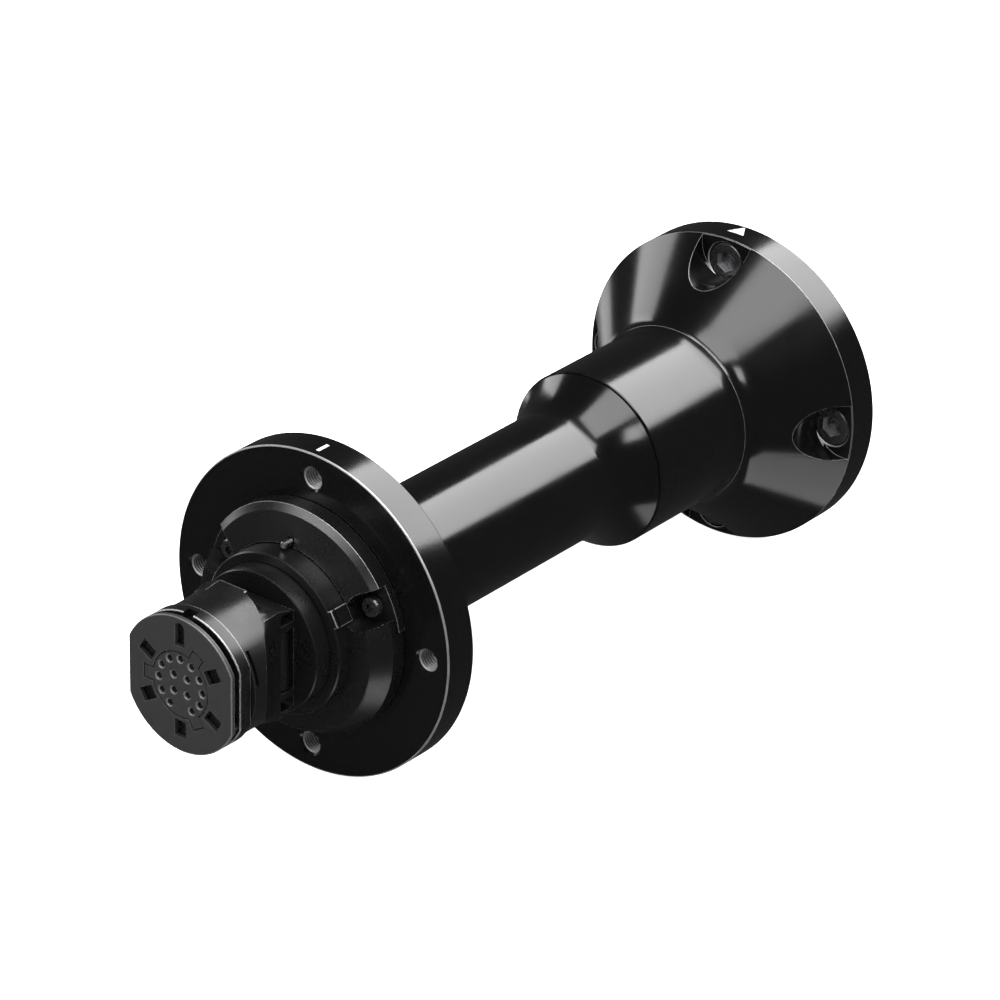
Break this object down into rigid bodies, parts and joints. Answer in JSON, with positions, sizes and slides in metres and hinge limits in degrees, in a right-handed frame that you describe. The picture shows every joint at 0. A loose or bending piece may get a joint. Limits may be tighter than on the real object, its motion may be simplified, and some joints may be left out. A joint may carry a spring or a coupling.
{
  "type": "quick-release shaft extension",
  "caption": "Shaft extension with a keyed quick-release nose and bolt flange in front and a bolt-on bell flange behind",
  "frame": {"origin": "centre of the rear mounting face, on the shaft's axis", "axes": "+Y along the shaft towards the wheel base, so the nose points to -Y; +Z towards 12 o'clock; +X towards 3 o'clock as seen from the nose"},
  "size_m": [0.083, 0.2153, 0.083],
  "materials": {
    "black_anodised": "semi-gloss black anodising",
    "nose_metal": "satin dark grey",
    "head_plastic": "matte dark grey",
    "screw_steel": "black oxide",
    "contact_metal": "polished plating",
    "board_laminate": "lacquered laminate",
    "cable_sheath": "matte"
  },
  "bodies": {
    "shaft": {"alignment_pin": "screw_steel", "collar_cover": "nose_metal", "contact_cover_plate": "head_plastic", "contact_insert": "head_plastic", "cover_screw_left": "screw_steel", "cover_screw_right": "screw_steel", "front_contact_board": "board_laminate", "front_flange": "black_anodised", "head_ring": "nose_metal", "housing_screw_1": "screw_steel", "housing_screw_2": "screw_steel", "housing_screw_3": "screw_steel", "nose_collar": "nose_metal", "nose_stem": "nose_metal", "rear_bell_flange": "black_anodised", "rear_contact_board": "board_laminate", "rear_contact_housing": "head_plastic", "rear_screw_bottom": "screw_steel", "rear_screw_left": "screw_steel", "rear_screw_right": "screw_steel", "rear_screw_top": "screw_steel", "rear_sleeve": "black_anodised", "roller_pin_left": "screw_steel", "roller_pin_right": "screw_steel", "shaft_tube": "black_anodised", "shoulder_collar": "black_anodised", "signal_cable": "cable_sheath"},
    "locking_roller_left": {"locking_roller_left": "nose_metal"},
    "locking_roller_right": {"locking_roller_right": "nose_metal"},
    "spring_contact_01": {"spring_contact_01": "contact_metal"},
    "spring_contact_02": {"spring_contact_02": "contact_metal"},
    "spring_contact_03": {"spring_contact_03": "contact_metal"},
    "spring_contact_04": {"spring_contact_04": "contact_metal"},
    "spring_contact_05": {"spring_contact_05": "contact_metal"},
    "spring_contact_06": {"spring_contact_06": "contact_metal"},
    "spring_contact_07": {"spring_contact_07": "contact_metal"},
    "spring_contact_08": {"spring_contact_08": "contact_metal"},
    "spring_contact_09": {"spring_contact_09": "contact_metal"},
    "spring_contact_10": {"spring_contact_10": "contact_metal"},
    "spring_contact_11": {"spring_contact_11": "contact_metal"},
    "spring_contact_12": {"spring_contact_12": "contact_metal"},
    "spring_contact_13": {"spring_contact_13": "contact_metal"},
    "spring_contact_14": {"spring_contact_14": "contact_metal"},
    "spring_contact_15": {"spring_contact_15": "contact_metal"}
  },
  "joints": [
    {"name": "roller_right_spin", "type": "hinge", "parent": "shaft", "child": "locking_roller_right", "pos_m": [0.009, -0.1911, 0], "axis": [0, 0, 1], "continuous": true},
    {"name": "roller_left_spin", "type": "hinge", "parent": "shaft", "child": "locking_roller_left", "pos_m": [-0.009, -0.1911, 0], "axis": [0, 0, 1], "continuous": true},
    {"name": "contact_01_press", "type": "slide", "parent": "shaft", "child": "spring_contact_01", "axis": [0, -1, 0], "range_m": [0, 0.001], "stiffness_N_per_m": 100},
    {"name": "contact_02_press", "type": "slide", "parent": "shaft", "child": "spring_contact_02", "axis": [0, -1, 0], "range_m": [0, 0.001], "stiffness_N_per_m": 100},
    {"name": "contact_03_press", "type": "slide", "parent": "shaft", "child": "spring_contact_03", "axis": [0, -1, 0], "range_m": [0, 0.001], "stiffness_N_per_m": 100},
    {"name": "contact_04_press", "type": "slide", "parent": "shaft", "child": "spring_contact_04", "axis": [0, -1, 0], "range_m": [0, 0.001], "stiffness_N_per_m": 100},
    {"name": "contact_05_press", "type": "slide", "parent": "shaft", "child": "spring_contact_05", "axis": [0, -1, 0], "range_m": [0, 0.001], "stiffness_N_per_m": 100},
    {"name": "contact_06_press", "type": "slide", "parent": "shaft", "child": "spring_contact_06", "axis": [0, -1, 0], "range_m": [0, 0.001], "stiffness_N_per_m": 100},
    {"name": "contact_07_press", "type": "slide", "parent": "shaft", "child": "spring_contact_07", "axis": [0, -1, 0], "range_m": [0, 0.001], "stiffness_N_per_m": 100},
    {"name": "contact_08_press", "type": "slide", "parent": "shaft", "child": "spring_contact_08", "axis": [0, -1, 0], "range_m": [0, 0.001], "stiffness_N_per_m": 100},
    {"name": "contact_09_press", "type": "slide", "parent": "shaft", "child": "spring_contact_09", "axis": [0, -1, 0], "range_m": [0, 0.001], "stiffness_N_per_m": 100},
    {"name": "contact_10_press", "type": "slide", "parent": "shaft", "child": "spring_contact_10", "axis": [0, -1, 0], "range_m": [0, 0.001], "stiffness_N_per_m": 100},
    {"name": "contact_11_press", "type": "slide", "parent": "shaft", "child": "spring_contact_11", "axis": [0, -1, 0], "range_m": [0, 0.001], "stiffness_N_per_m": 100},
    {"name": "contact_12_press", "type": "slide", "parent": "shaft", "child": "spring_contact_12", "axis": [0, -1, 0], "range_m": [0, 0.001], "stiffness_N_per_m": 100},
    {"name": "contact_13_press", "type": "slide", "parent": "shaft", "child": "spring_contact_13", "axis": [0, -1, 0], "range_m": [0, 0.001], "stiffness_N_per_m": 100},
    {"name": "contact_14_press", "type": "slide", "parent": "shaft", "child": "spring_contact_14", "axis": [0, -1, 0], "range_m": [0, 0.001], "stiffness_N_per_m": 100},
    {"name": "contact_15_press", "type": "slide", "parent": "shaft", "child": "spring_contact_15", "axis": [0, -1, 0], "range_m": [0, 0.001], "stiffness_N_per_m": 100}
  ],
  "couplings": [
    {"joint": "contact_02_press", "follows": "contact_01_press", "ratio": 1},
    {"joint": "contact_03_press", "follows": "contact_01_press", "ratio": 1},
    {"joint": "contact_04_press", "follows": "contact_01_press", "ratio": 1},
    {"joint": "contact_05_press", "follows": "contact_01_press", "ratio": 1},
    {"joint": "contact_06_press", "follows": "contact_01_press", "ratio": 1},
    {"joint": "contact_07_press", "follows": "contact_01_press", "ratio": 1},
    {"joint": "contact_08_press", "follows": "contact_01_press", "ratio": 1},
    {"joint": "contact_09_press", "follows": "contact_01_press", "ratio": 1},
    {"joint": "contact_10_press", "follows": "contact_01_press", "ratio": 1},
    {"joint": "contact_11_press", "follows": "contact_01_press", "ratio": 1},
    {"joint": "contact_12_press", "follows": "contact_01_press", "ratio": 1},
    {"joint": "contact_13_press", "follows": "contact_01_press", "ratio": 1},
    {"joint": "contact_14_press", "follows": "contact_01_press", "ratio": 1},
    {"joint": "contact_15_press", "follows": "contact_01_press", "ratio": 1}
  ]
}
